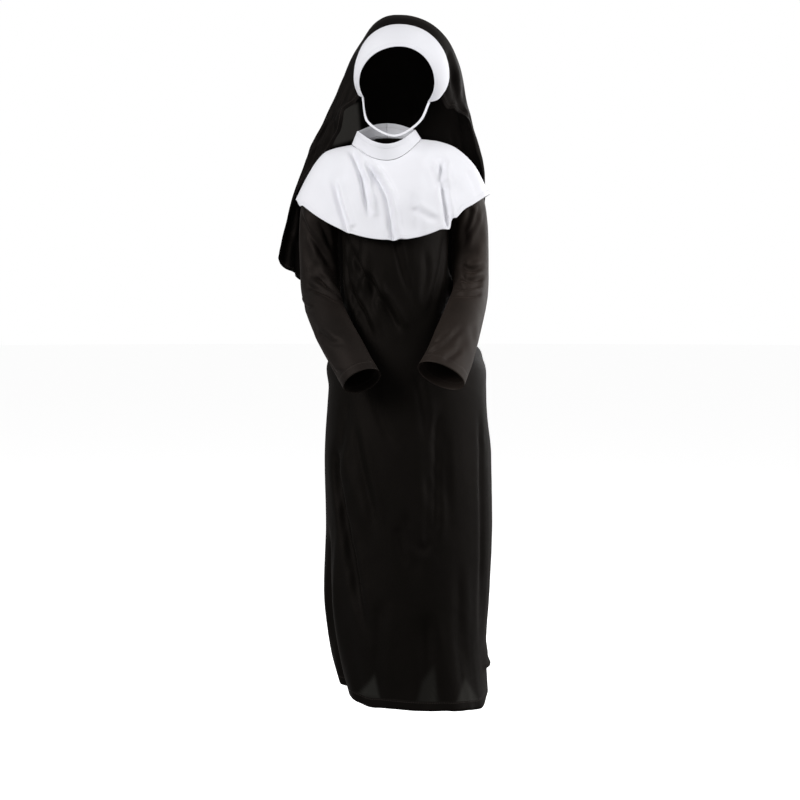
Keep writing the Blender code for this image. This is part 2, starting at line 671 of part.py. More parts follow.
def main():
    for existing in list(bpy.data.objects):
        bpy.data.objects.remove(existing, do_unlink=True)
    black = cloth_material("black_knit", BLACK_KNIT, BLACK_ROUGHNESS)
    dark = cloth_material("veil_knit", VEIL_KNIT, BLACK_ROUGHNESS)
    white = cloth_material("white_knit", WHITE_KNIT, WHITE_ROUGHNESS)
    gown_panel("gown_front", FRONT_COLUMNS, True, black)
    gown_panel("gown_back", BACK_COLUMNS, False, black)
    sleeve("sleeve_left", -1, LEFT_SLEEVE, LEFT_SLEEVE_FOLDS, black)
    sleeve("sleeve_right", 1, RIGHT_SLEEVE, RIGHT_SLEEVE_FOLDS, black)
    cape(white)
    collar(white)
    veil(dark)
    coif(white)
    chin_strap(white)


main()
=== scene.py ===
# Nun habit for a child: black gown, white cape with a stand collar, white coif band and black veil.
# Each cloth piece is a thin shell on the imported part's own form, with its creases given one by one.
# Lengths in the tables are millimetres. +X is the viewer's right, -Y the front and +Z up.
import math

import bpy
import numpy as np
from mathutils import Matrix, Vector, kdtree


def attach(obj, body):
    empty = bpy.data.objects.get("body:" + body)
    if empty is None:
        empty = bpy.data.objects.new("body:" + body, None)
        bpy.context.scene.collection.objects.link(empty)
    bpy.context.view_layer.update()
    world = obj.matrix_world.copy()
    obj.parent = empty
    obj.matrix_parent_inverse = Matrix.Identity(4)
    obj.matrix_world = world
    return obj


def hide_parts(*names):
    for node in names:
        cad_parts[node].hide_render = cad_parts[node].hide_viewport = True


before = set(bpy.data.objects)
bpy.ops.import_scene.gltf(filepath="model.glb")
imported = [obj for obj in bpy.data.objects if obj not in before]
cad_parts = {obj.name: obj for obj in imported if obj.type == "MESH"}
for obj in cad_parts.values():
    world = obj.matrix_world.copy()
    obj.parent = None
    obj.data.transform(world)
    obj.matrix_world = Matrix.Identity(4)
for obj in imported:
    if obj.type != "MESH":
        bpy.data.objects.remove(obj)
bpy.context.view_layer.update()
millimetre = 0.001
print("frame loaded:", sorted(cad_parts))


def weldedTriangles(node):
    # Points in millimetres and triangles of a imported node, with doubled points joined
    mesh = node.data
    mesh.calc_loop_triangles()
    raw = np.array([list(v.co) for v in mesh.vertices]) / millimetre
    points, index = np.unique(np.round(raw, 3), axis=0, return_inverse=True)
    corners = np.array([list(t.vertices) for t in mesh.loop_triangles])
    return points, index.ravel()[corners]


def outerSkin(points, triangles, wall):
    # Triangles of the side of a cloth wall that faces out. A wall's rims are the triangles with an
    # edge as long as the wall is thick, and without them its two sides fall apart.
    a, b, c = (points[triangles[:, k]] for k in range(3))
    miss = [np.abs(np.linalg.norm(edge, axis=1) - wall) for edge in (b - a, c - b, a - c)]
    triangles = triangles[np.min(miss, axis=0) > 0.01]
    a, b, c = (points[triangles[:, k]] for k in range(3))
    normal = np.cross(b - a, c - a)
    area = np.linalg.norm(normal, axis=1, keepdims=True) / 2
    normal = normal / np.maximum(2 * area, 1e-9)
    centre = (a + b + c) / 3
    beside = {}
    for index, corners in enumerate(triangles):
        for k in range(3):
            beside.setdefault(frozenset((corners[k], corners[(k + 1) % 3])), []).append(index)
    near = [[] for _ in triangles]
    for pair in beside.values():
        if len(pair) == 2:
            near[pair[0]].append(pair[1])
            near[pair[1]].append(pair[0])
    best, bestMeasure, seen = None, 0, np.zeros(len(triangles), bool)
    for start in range(len(triangles)):
        if seen[start]:
            continue
        patch, waiting = [], [start]
        seen[start] = True
        while waiting:
            face = waiting.pop()
            patch.append(face)
            for other in near[face]:
                if not seen[other]:
                    seen[other] = True
                    waiting.append(other)
        middle = (centre[patch] * area[patch]).sum(0) / area[patch].sum()
        measure = float(((centre[patch] - middle) * normal[patch] * area[patch]).sum())
        if measure > bestMeasure:
            best, bestMeasure = patch, measure
    return triangles[best]


def clothGrid(node, wall, columns, around=False):
    # Points of the node's outer side, row by row from its upper edge and column by column
    points, triangles = weldedTriangles(node)
    triangles = outerSkin(points, triangles, wall)
    beside, touching = {}, {}
    for index, corners in enumerate(triangles):
        for k in range(3):
            beside.setdefault(frozenset((corners[k], corners[(k + 1) % 3])), []).append(index)
            touching[corners[k]] = touching.get(corners[k], 0) + 1
    rim = {}
    for edge, faces in beside.items():
        if len(faces) == 1:
            first, second = edge
            rim.setdefault(first, []).append(second)
            rim.setdefault(second, []).append(first)

    def walkRim(start, step):
        path = [start, step]
        while path[-1] != start and not (not around and touching[path[-1]] <= 2):
            path.append(next(v for v in rim[path[-1]] if v != path[-2]))
        return path

    starts = list(rim) if around else [v for v in rim if touching[v] <= 2]
    paths = [walkRim(v, step) for v in starts for step in rim[v]]
    paths = [path for path in paths if len(path) == columns + 1]
    if around:
        paths = [path[:-1] for path in paths]
    highest = max(points[path][:, 2].mean() for path in paths)
    paths = [path for path in paths if points[path][:, 2].mean() > highest - 0.01]
    rows = [min(paths, key=lambda path: (points[path[0]][0], points[path[1]][2]))]
    used = set(rows[0])
    while True:
        row = rows[-1]
        ahead = row[1:] + row[:1] if around else row[1:]
        thirds = []
        for first, second in zip(row, ahead):
            faces = beside[frozenset((first, second))]
            near = [v for face in faces for v in triangles[face]]
            thirds += [v for v in near if v not in (first, second) and v not in used]
        if len(thirds) < len(ahead):
            break
        toFirst = np.linalg.norm(points[thirds] - points[row[: len(thirds)]], axis=1).mean()
        toSecond = np.linalg.norm(points[thirds] - points[ahead], axis=1).mean()
        if around:
            below = thirds if toFirst < toSecond else thirds[-1:] + thirds[:-1]
        elif toFirst < toSecond:
            below = thirds + [next(v for v in rim[row[-1]] if v not in used)]
        else:
            below = [next(v for v in rim[row[0]] if v not in used)] + thirds
        rows.append(below)
        used.update(below)
    return points[np.array(rows)]


def curveThrough(keys, at, closed=False):
    # Catmull-Rom curve through evenly numbered keys
    count = len(keys)
    at = np.asarray(at, float)
    low = np.floor(at).astype(int)
    if not closed:
        low = np.clip(low, 0, count - 2)
    part = (at - low).reshape((-1,) + (1,) * (keys.ndim - 1))

    def key(index):
        if closed:
            return keys[index % count]
        inside = keys[np.clip(index, 0, count - 1)]
        before = (index < 0).reshape(part.shape)
        after = (index > count - 1).reshape(part.shape)
        inside = np.where(before, 2 * keys[0] - keys[1], inside)
        return np.where(after, 2 * keys[-1] - keys[-2], inside)

    p0, p1, p2, p3 = key(low - 1), key(low), key(low + 1), key(low + 2)
    square = (2 * p0 - 5 * p1 + 4 * p2 - p3) * part**2
    cube = (3 * p1 - p0 - 3 * p2 + p3) * part**3
    return 0.5 * (2 * p1 + (p2 - p0) * part + square + cube)


def refined(grid, rows, columns, around=False):
    # The same sheet with this many rows and columns of faces
    rowAt = np.linspace(0, len(grid) - 1, rows + 1)
    grid = curveThrough(grid, rowAt)
    across = grid.shape[1] if around else grid.shape[1] - 1
    columnAt = np.arange(columns) * across / columns if around else np.linspace(0, across, columns + 1)
    return np.swapaxes(curveThrough(np.swapaxes(grid, 0, 1), columnAt, closed=around), 0, 1)


def gridNormals(grid, around):
    # Unit normals of a sheet, away from its hollow side
    if around:
        across = np.roll(grid, -1, axis=1) - np.roll(grid, 1, axis=1)
    else:
        across = np.gradient(grid, axis=1)
    normal = np.cross(np.gradient(grid, axis=0), across)
    normal /= np.maximum(np.linalg.norm(normal, axis=-1, keepdims=True), 1e-9)
    middle = grid.mean(axis=(0, 1))
    return -normal if np.sum(normal * (grid - middle)) < 0 else normal


def smoothStep(value):
    value = np.clip(value, 0, 1)
    return value * value * (3 - 2 * value)


creaseShape = {
    "reach": 4.5,  # in half widths
    "fadeIn": 0.18,  # shares of the length over which a crease begins and ends
    "fadeOut": 0.32,
    "ridgePlace": 1.9,  # in half widths from the trough's middle
    "ridgeWidth": 1.1,
    "farRidge": 0.3,  # height of the ridge on the other side
}


def creaseHeights(grid, normals, creases):
    # Height that the listed creases give each point. Each is (depth, width, lip, points): a soft
    # trough of that depth and half width, with a ridge beside it that is lip times as high.
    flat = grid.reshape(-1, 3)
    normals = normals.reshape(-1, 3)
    total = np.zeros(len(flat))
    tree = kdtree.KDTree(len(flat))
    for index, point in enumerate(flat):
        tree.insert(point, index)
    tree.balance()
    for depth, width, lip, corners in creases:
        corners = np.array(corners, float)
        length = np.linalg.norm(np.diff(corners, axis=0), axis=1).sum()
        steps = max(int(length / 4), 6)
        line = curveThrough(corners, np.linspace(0, len(corners) - 1, steps + 1))
        line = np.array([flat[tree.find(point)[1]] for point in line])
        for _ in range(2):
            line[1:-1] = (line[:-2] + 2 * line[1:-1] + line[2:]) / 4
        reach = creaseShape["reach"] * width
        low, high = line.min(0) - reach, line.max(0) + reach
        inside = np.flatnonzero(np.all((flat > low) & (flat < high), axis=1))
        if not len(inside):
            continue
        along = np.diff(line, axis=0)
        size = np.maximum((along**2).sum(1), 1e-9)
        best = np.full(len(inside), 1e9)
        place = np.zeros(len(inside))
        side = np.zeros(len(inside))
        for index in range(steps):
            apart = flat[inside] - line[index]
            part = np.clip(apart @ along[index] / size[index], 0, 1)
            miss = apart - part[:, None] * along[index]
            distance = np.linalg.norm(miss, axis=1)
            nearer = distance < best
            best[nearer] = distance[nearer]
            place[nearer] = (index + part[nearer]) / steps
            turn = np.cross(along[index], normals[inside]) * miss
            side[nearer] = np.sign(turn.sum(1))[nearer]
        fade = smoothStep(place / creaseShape["fadeIn"]) * smoothStep((1 - place) / creaseShape["fadeOut"])
        across = best / width
        fromRidge = (across - creaseShape["ridgePlace"]) / creaseShape["ridgeWidth"]
        ridge = np.exp(-(fromRidge**2)) * np.where(side < 0, 1.0, creaseShape["farRidge"])
        total[inside] += depth * fade * (-np.exp(-(across**2)) + lip * ridge)
    return total.reshape(grid.shape[:2])


def pulled(grid, pulls):
    # The sheet with the listed pulls: (place, reach, shift) moves what lies near the place
    grid = grid.copy()
    for place, reach, shift in pulls:
        reach = np.array(reach, float) * np.ones(3)
        apart = np.linalg.norm((grid - np.array(place, float)) / reach, axis=-1)
        grid += smoothStep(1 - apart)[..., None] * np.array(shift, float)
    return grid


# painted backlight is laid in patches whose soft edges are this wide
patchSoftness = 8.0  # of a pale patch's edge


def patchShares(grid, patches, behind):
    # Share from 0 to 1 of each point that lies in a listed patch with these x and z corners, on the
    # front of the piece or on its back
    total = np.zeros(grid.shape[:2])
    for strength, corners in patches:
        corners = np.array(corners, float)
        inside = np.full(grid.shape[:2], 1e9)
        turn = np.cross(corners[1] - corners[0], corners[2] - corners[0])
        for index, corner in enumerate(corners):
            edge = corners[(index + 1) % len(corners)] - corner
            inward = np.array((-edge[1], edge[0])) / np.linalg.norm(edge) * np.sign(turn)
            inside = np.minimum(inside, (grid[..., [0, 2]] - corner) @ inward)
        facing = grid[..., 1] > 0 if behind else grid[..., 1] < 0
        total = np.maximum(total, strength * smoothStep(inside / patchSoftness) * facing)
    return total


def softNoise(grid, cell, seed):
    # Smooth random height from -1 to 1 over a lattice with this cell size
    random = np.random.default_rng(seed)
    lattice = random.uniform(-1, 1, (24, 24, 24))
    place = grid / cell
    low = np.floor(place).astype(int)
    part = smoothStep(place - low)
    total = np.zeros(grid.shape[:2])
    for dx in (0, 1):
        for dy in (0, 1):
            for dz in (0, 1):
                share = np.ones(grid.shape[:2])
                for axis, step in enumerate((dx, dy, dz)):
                    share = share * (part[..., axis] if step else 1 - part[..., axis])
                index = (low + np.array((dx, dy, dz))) % 24
                total += share * lattice[index[..., 0], index[..., 1], index[..., 2]]
    return total


def arcLengths(grid):
    # Distance across and down the cloth at each point, from its first column and row
    across = np.linalg.norm(np.diff(grid, axis=1), axis=2).mean(axis=0)
    down = np.linalg.norm(np.diff(grid, axis=0), axis=2).mean(axis=1)
    return np.concatenate([[0], np.cumsum(across)]), np.concatenate([[0], np.cumsum(down)])


def hemPlaces(grid, hems):
    # How far along and how far in from the nearest hemmed edge each point lies
    along = np.zeros(grid.shape[:2])
    inward = np.full(grid.shape[:2], 1000.0)
    across = np.linalg.norm(np.diff(grid, axis=1, prepend=grid[:, :1]), axis=2).cumsum(axis=1)
    down = np.linalg.norm(np.diff(grid, axis=0, prepend=grid[:1]), axis=2).cumsum(axis=0)
    for hem in hems:
        if hem == "lower":
            place, depth = across, down[-1:] - down
        elif hem == "upper":
            place, depth = across, down
        elif hem == "first":
            place, depth = down, across
        else:
            place, depth = down, across[:, -1:] - across
        along = np.where(depth < inward, place, along)
        inward = np.minimum(inward, depth)
    return along, inward


def clothShell(name, grid, normals, look, material, around=False):
    # A closed thin shell: the sheet, its underside, and its rims
    thickness = look["thickness"]
    rows, columns = grid.shape[:2]
    under = grid - normals * thickness
    points = np.concatenate([grid.reshape(-1, 3), under.reshape(-1, 3)]) * millimetre
    index = np.arange(rows * columns).reshape(rows, columns)
    ahead = np.roll(index, -1, axis=1)
    last = columns if around else columns - 1
    a, b = index[:-1, :last], index[1:, :last]
    c, d = ahead[1:, :last], ahead[:-1, :last]
    quads = np.stack([a, b, c, d], axis=-1).reshape(-1, 4)
    lower = quads[:, ::-1] + rows * columns
    faces = [quads, lower]
    for i, flip in ((0, False), (rows - 1, True)):
        edge, onward = index[i, :last], ahead[i, :last]
        rim = np.stack([edge, onward, onward + rows * columns, edge + rows * columns], axis=-1)
        faces.append(rim[:, ::-1] if flip else rim)
    if not around:
        for j, flip in ((0, True), (columns - 1, False)):
            edge, onward = index[:-1, j], index[1:, j]
            rim = np.stack([edge, onward, onward + rows * columns, edge + rows * columns], axis=-1)
            faces.append(rim[:, ::-1] if flip else rim)
    faces = np.concatenate(faces)
    side = np.cross(grid[1, 0] - grid[0, 0], grid[0, 1] - grid[0, 0]) @ normals[0, 0]
    if side < 0:
        faces = faces[:, ::-1]
    mesh = bpy.data.meshes.new(name)
    mesh.from_pydata(points.tolist(), [], faces.tolist())
    across, down = arcLengths(grid)
    corner = np.zeros(len(mesh.loops), int)
    mesh.loops.foreach_get("vertex_index", corner)
    onCloth = np.tile(np.resize(across, columns), rows), np.repeat(down, columns)
    fromHem = hemPlaces(grid, look["hems"])
    for layerName, (u, v) in (("clothMetres", onCloth), ("hemMetres", fromHem)):
        place = np.stack([np.ravel(u), np.ravel(v)], axis=-1) * millimetre
        layer = mesh.uv_layers.new(name=layerName)
        layer.data.foreach_set("uv", np.concatenate([place, place])[corner].ravel())
    # share of painted backlight at each point, on the sheet's upper side and on its underside
    backlitShare = mesh.attributes.new("paintedBacklightShare", "FLOAT", "POINT")
    upper = patchShares(grid, look.get("paintedBacklightPatches", []), False)
    under = patchShares(grid, look.get("paintedBacklightInside", []), True)
    backlitShare.data.foreach_set("value", np.concatenate([np.ravel(upper), np.ravel(under)]))
    mesh.shade_smooth()
    mesh.materials.append(material)
    piece = bpy.data.objects.new(name, mesh)
    bpy.context.scene.collection.objects.link(piece)
    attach(piece, "root")
    return piece


def linearColour(code):
    # sRGB hex to linear red, green and blue
    values = [int(code[i : i + 2], 16) / 255 for i in (1, 3, 5)]
    return tuple(v / 12.92 if v <= 0.04045 else ((v + 0.055) / 1.055) ** 2.4 for v in values) + (1.0,)


def addNode(tree, kind, inputs=None, **settings):
    # Adds one node. inputs gives its sockets another node's socket or a plain value.
    node = tree.nodes.new(kind)
    for name, value in settings.items():
        setattr(node, name, value)
    for name, value in (inputs or {}).items():
        if isinstance(value, bpy.types.NodeSocket):
            tree.links.new(value, node.inputs[name])
        else:
            node.inputs[name].default_value = value
    return node


def polyesterKnit(name, look):
    # Fine polyester knit, dyed in the piece and steamed flat: soft and nearly matt, with a faint sheen
    # where it turns away. Its wales are about 0.7 mm apart, drawn 1.4 mm apart so that they show close
    # up. The hems are turned up and stitched with thread of the same colour.
    material = bpy.data.materials.new(name)
    material.use_nodes = True
    tree = material.node_tree
    shader = tree.nodes["Principled BSDF"]
    body = addNode(tree, "ShaderNodeTexCoord").outputs["Object"]
    cloth = addNode(tree, "ShaderNodeUVMap", uv_map="clothMetres").outputs["UV"]
    hem = addNode(tree, "ShaderNodeUVMap", uv_map="hemMetres").outputs["UV"]

    shadeInputs = {"Vector": body, "Scale": look["shadeScale"], "Detail": 3.0, "Roughness": 0.55}
    shade = addNode(tree, "ShaderNodeTexNoise", shadeInputs)
    colour = addNode(tree, "ShaderNodeValToRGB", {"Fac": shade.outputs["Fac"]})
    colour.color_ramp.elements[0].position = 0.3
    colour.color_ramp.elements[0].color = linearColour(look["dark"])
    colour.color_ramp.elements[1].position = 0.72
    colour.color_ramp.elements[1].color = linearColour(look["light"])

    # the knit: wales across, courses down, and loose fibres over both
    wavesAtScaleOne = 3.1831  # to a metre, in the wave texture
    waleScale = 1 / (look["waleGap"] * millimetre) / wavesAtScaleOne
    courseScale = 1 / (look["courseGap"] * millimetre) / wavesAtScaleOne
    waleInputs = {"Vector": cloth, "Scale": waleScale, "Distortion": 0.6}
    wales = addNode(tree, "ShaderNodeTexWave", waleInputs, bands_direction="X")
    courseInputs = {"Vector": cloth, "Scale": courseScale, "Distortion": 0.8}
    courses = addNode(tree, "ShaderNodeTexWave", courseInputs, bands_direction="Y")
    bothWaves = {0: wales.outputs["Fac"], 1: courses.outputs["Fac"]}
    stitch = addNode(tree, "ShaderNodeMath", bothWaves, operation="MULTIPLY").outputs[0]
    fuzzInputs = {"Vector": body, "Scale": look["fuzzScale"], "Detail": 2.0}
    fuzz = addNode(tree, "ShaderNodeTexNoise", fuzzInputs).outputs["Fac"]
    fuzzOver = {0: fuzz, 1: look["fuzzShare"], 2: stitch}
    height = addNode(tree, "ShaderNodeMath", fuzzOver, operation="MULTIPLY_ADD").outputs[0]
    knitInputs = {"Height": height, "Strength": look["bump"], "Distance": 0.3 * millimetre}
    knitBump = addNode(tree, "ShaderNodeBump", knitInputs)

    # the hem: two layers up to its depth, held by a row of stitches a little below that
    apart = addNode(tree, "ShaderNodeSeparateXYZ", {"Vector": hem})
    along, inward = apart.outputs["X"], apart.outputs["Y"]
    depth = look["hemDepth"] * millimetre
    edgeWidth = look["hemEdge"] * millimetre
    turnedInputs = {
        "Value": inward,
        "From Min": depth,
        "From Max": depth + edgeWidth,
        "To Min": 1,
        "To Max": 0,
    }
    ramp = addNode(tree, "ShaderNodeMapRange", turnedInputs, interpolation_type="SMOOTHSTEP")
    turned = ramp.outputs["Result"]
    rowInputs = {0: inward, 1: depth - edgeWidth, 2: look["threadWidth"] * millimetre}
    inRow = addNode(tree, "ShaderNodeMath", rowInputs, operation="COMPARE").outputs[0]
    stitchLength = look["stitchLength"] * millimetre
    step = addNode(tree, "ShaderNodeMath", {0: along, 1: stitchLength}, operation="DIVIDE").outputs[0]
    withinStep = addNode(tree, "ShaderNodeMath", {0: step}, operation="FRACT").outputs[0]
    inStitch = addNode(tree, "ShaderNodeMath", {0: withinStep, 1: 0.7}, operation="LESS_THAN").outputs[0]
    thread = addNode(tree, "ShaderNodeMath", {0: inRow, 1: inStitch}, operation="MULTIPLY").outputs[0]
    sunkInputs = {0: inRow, 1: -0.9, 2: turned}  # the row is pulled in
    sunk = addNode(tree, "ShaderNodeMath", sunkInputs, operation="MULTIPLY_ADD").outputs[0]
    reliefInputs = {0: thread, 1: 0.7, 2: sunk}  # and the thread lies on top
    relief = addNode(tree, "ShaderNodeMath", reliefInputs, operation="MULTIPLY_ADD").outputs[0]
    knitNormal = knitBump.outputs["Normal"]
    hemInputs = {"Height": relief, "Normal": knitNormal, "Strength": 0.8, "Distance": 0.0006}
    hemBump = addNode(tree, "ShaderNodeBump", hemInputs)

    # painted backlight: a single layer is painted paler and faintly glowing, and the doubled hem is not
    backlitShare = addNode(tree, "ShaderNodeAttribute", attribute_name="paintedBacklightShare").outputs["Fac"]
    oneLayer = addNode(tree, "ShaderNodeMath", {0: 1.0, 1: turned}, operation="SUBTRACT").outputs[0]
    single = addNode(tree, "ShaderNodeMath", {0: backlitShare, 1: oneLayer}, operation="MULTIPLY").outputs[0]
    palerInputs = {0: single, 6: colour.outputs["Color"], 7: linearColour(look["backlightPaintColour"])}
    paler = addNode(tree, "ShaderNodeMix", palerInputs, data_type="RGBA").outputs[2]
    glowInputs = {0: single, 1: look["backlightPaintGlow"]}
    glow = addNode(tree, "ShaderNodeMath", glowInputs, operation="MULTIPLY").outputs[0]
    stitchedInputs = {0: thread, 6: paler, 7: linearColour(look["thread"])}
    stitched = addNode(tree, "ShaderNodeMix", stitchedInputs, data_type="RGBA").outputs[2]
    rough = look["roughness"]
    glossInputs = {"Value": stitch, "To Min": rough + 0.06, "To Max": rough - 0.06}  # smoother on the loops
    gloss = addNode(tree, "ShaderNodeMapRange", glossInputs).outputs["Result"]
    tree.links.new(stitched, shader.inputs["Base Color"])
    tree.links.new(gloss, shader.inputs["Roughness"])
    # the glow of the painted backlight: painted light, not a lamp
    tree.links.new(glow, shader.inputs["Emission Strength"])
    tree.links.new(hemBump.outputs["Normal"], shader.inputs["Normal"])
    shader.inputs["Emission Color"].default_value = linearColour(look["backlightPaintColour"])
    shader.inputs["IOR"].default_value = 1.5
    shader.inputs["Specular IOR Level"].default_value = look["specular"]
    shader.inputs["Specular Tint"].default_value = linearColour(look["specularTint"])
    shader.inputs["Sheen Weight"].default_value = look["sheen"]
    shader.inputs["Sheen Roughness"].default_value = look["sheenRoughness"]
    shader.inputs["Sheen Tint"].default_value = linearColour(look["sheenTint"])
    return material


gownKnit = {
    "dark": "#030302",
    "light": "#080706",
    # colour and glow of the painted backlight
    "backlightPaintColour": "#21211f",
    "backlightPaintGlow": 0.15,
    "thread": "#2a2624",
    "shadeScale": 9.0,
    "waleGap": 1.4,
    "courseGap": 1.7,
    "fuzzScale": 900.0,
    "fuzzShare": 0.5,
    "bump": 0.3,
    "hemDepth": 16.0,
    "hemEdge": 1.6,
    "stitchLength": 4.0,
    "threadWidth": 0.5,
    "roughness": 0.6,
    "specular": 0.085,
    "specularTint": "#ffece2",
    "sheen": 0.07,
    "sheenRoughness": 0.4,
    "sheenTint": "#a8968c",
}
# the sleeves are the same knit, painted lighter and glossier because they face the light more: painted
# light
litSleeveLook = dict(gownKnit, dark="#0a0807", light="#15110f", specular=0.16, sheen=0.12)
# the right sleeve, lit most from the right, is painted lighter still: painted light
litRightSleeveLook = dict(litSleeveLook, dark="#15110f", light="#221c18", specular=0.21)
veilKnit = dict(
    gownKnit,
    dark="#030303",
    light="#0a0908",
    # the painted backlight inside the veil is paler and glows more
    backlightPaintColour="#2c2b29",
    backlightPaintGlow=0.7,
    sheen=0.06,
    hemDepth=9.0,
)
whiteKnit = dict(
    gownKnit,
    dark="#e0e0e5",
    light="#eaeaef",
    backlightPaintColour="#dcdce3",
    backlightPaintGlow=0.0,
    thread="#e8e8ee",
    shadeScale=7.0,
    roughness=0.78,
    specular=0.25,
    specularTint="#ffffff",
    sheen=0.1,
    sheenRoughness=0.5,
    sheenTint="#ffffff",
    hemDepth=7.0,
)
blackGownKnit = polyesterKnit("black_polyester_knit", gownKnit)
# lit copies of the black knit for the sleeves: painted light
litSleeveMaterial = polyesterKnit("black_knit_painted_lit_sleeve", litSleeveLook)
litRightSleeveMaterial = polyesterKnit("black_knit_painted_lit_right_sleeve", litRightSleeveLook)
blackVeilKnit = polyesterKnit("black_veil_knit", veilKnit)
whiteCapeKnit = polyesterKnit("white_polyester_knit", whiteKnit)
print("materials made")


bodyPulls = [  # shared by both halves, so that their side seams stay together
    ((-85, 18, -266), (34, 44, 66), (-11, 0, 0)),  # the bodice meets the sleeves
    ((99, 18, -258), (34, 44, 64), (11, 0, 0)),
    ((106, 8, -230), (22, 50, 30), (5, 0, 0)),
    ((98, 0, -270), (22, 50, 40), (4, 0, 0)),
    ((146, 20, -344), (40, 60, 26), (8, 0, 0)),  # hips
    ((170, 20, -444), (40, 70, 90), (-7.5, 0, 0)),
    ((-108, 20, -376), (40, 70, 40), (-6, 0, 0)),
    ((166, -20, -880), (26, 60, 26), (4, 0, 0)),  # the side flicks out above the hem at the right
    ((168, -20, -895), (26, 60, 12), (7, 0, -3)),
    ((-100, 40, -905), (60, 70, 34), (0, 0, 4)),
]
gownFront = {
    "hems": ["lower"],
    "columns": 32,
    "fineRows": 270,
    "fineColumns": 180,
    "wall": 1.4,
    "thickness": 0.7,
    "pulls": bodyPulls + [
        ((20, -130, -966), (200, 90, 30), (0, 0, -2.5)),  # the hem dips at the front
        ((135, -105, -958), (60, 70, 30), (0, 0, -3)),
        ((152, -92, -954), (40, 60, 30), (3, 0, -6)),
        ((-32, -118, -956), (50, 70, 30), (0, 0, -2.5)),
        ((-46, -110, -950), (40, 60, 28), (-1, 0, -4)),
    ],
    "seamFade": 22.0,
    "allowance": 3.5,
    "allowanceDrop": 1.0,
    "creases": [
        # bodice: pulled from the viewer's left shoulder down across the waist
        (5.4, 7, 0.7,
         [(-84, -38, -150), (-70, -50, -174), (-34, -74, -233), (2, -84, -293), (16, -86, -320)]),
        (4.8, 7, 0.7,
         [(-94, -24, -176), (-86, -34, -210), (-68, -52, -252), (-42, -76, -302), (-26, -86, -340)]),
        (3.2, 5, 0.5, [(2, -83, -150), (8, -83, -172), (18, -82, -212), (32, -80, -256)]),
        (3.4, 7, 0.4, [(90, -34, -140), (92, -50, -190), (80, -66, -240), (62, -78, -290)]),
        (2.6, 5, 0.3, [(-84, -20, -150), (-84, -30, -200), (-80, -40, -250)]),
        (2.2, 7, 0.4, [(60, -78, -170), (62, -78, -220), (52, -80, -270)]),
        # skirt
        (7.0, 9, 0.4,
         [(-98, -50, -500), (-88, -62, -590), (-70, -84, -690), (-54, -100, -770), (-32, -112, -850)]),
        (3.2, 8, 0.5, [(-70, -84, -450), (-50, -98, -545), (-38, -106, -600), (-28, -112, -660)]),
        (4.2, 7, 0.5, [(78, -99, -440), (76, -108, -520), (74, -114, -613), (70, -118, -700)]),
        (2.4, 7, 0.4, [(61, -111, -540), (61, -119, -640), (58, -122, -700)]),
        (2.2, 8, 0.4, [(8, -118, -640), (25, -124, -714)]),
        (2.6, 8, 0.4, [(18, -120, -610), (40, -122, -672), (73, -120, -676)]),
        (2.4, 6, 0.6, [(150, -56, -440), (154, -57, -560), (153, -60, -680), (150, -62, -800)]),
        (3.0, 10, 0.4, [(-20, -125, -760), (-26, -125, -860), (-30, -128, -990)]),
        (2.8, 10, 0.4, [(60, -130, -780), (58, -138, -880), (54, -140, -990)]),
        (3.0, 9, 0.4, [(118, -110, -700), (122, -125, -840), (124, -130, -990)]),
        (2.2, 8, 0.4, [(-40, -98, -400), (-20, -104, -460), (10, -110, -520)]),
        (2.6, 8, 0.4, [(40, -100, -380), (52, -106, -440), (58, -110, -500)]),
    ],
    # painted backlight: paler and glowing where light would come through one layer, above the turned-up hem
    "paintedBacklightPatches": [
        (1.0, [(-66, -940), (-27, -888), (-16, -940)]),
        (0.45, [(38, -942), (48, -902), (74, -868), (82, -942)]),
        (0.65, [(58, -942), (70, -890), (76, -868), (80, -942)]),
        (1.0, [(102, -948), (124, -892), (158, -952)]),
    ],
}
gownBack = {
    "hems": ["lower"],
    "columns": 22,
    "fineRows": 250,
    "fineColumns": 140,
    "wall": 1.4,
    "thickness": 0.7,
    "pulls": bodyPulls,
    "seamFade": 22.0,
    "creases": [
        (3.7, 8, 0.4, [(60, 72, -150), (48, 78, -240), (40, 82, -330), (36, 98, -430)]),
        (3.4, 8, 0.4, [(-55, 72, -160), (-46, 76, -240), (-36, 84, -330)]),
        (2.7, 8, 0.3, [(10, 80, -200), (6, 76, -280), (-2, 88, -360)]),
        (4.1, 9, 0.4,
         [(70, 96, -430), (78, 104, -560), (84, 110, -700), (92, 112, -850), (98, 112, -990)]),
        (4.1, 9, 0.4, [(-60, 92, -440), (-62, 100, -600), (-66, 106, -760), (-70, 108, -990)]),
        (3.1, 9, 0.3, [(0, 112, -520), (-4, 118, -680), (0, 126, -840), (4, 130, -990)]),
        (2.7, 8, 0.3, [(36, 112, -600), (40, 118, -760), (38, 126, -990)]),
        (2.4, 8, 0.3, [(130, 70, -460), (140, 70, -640), (136, 80, -800)]),
        (2.4, 8, 0.3, [(-100, 50, -500), (-104, 60, -700), (-96, 70, -880)]),
    ],
}
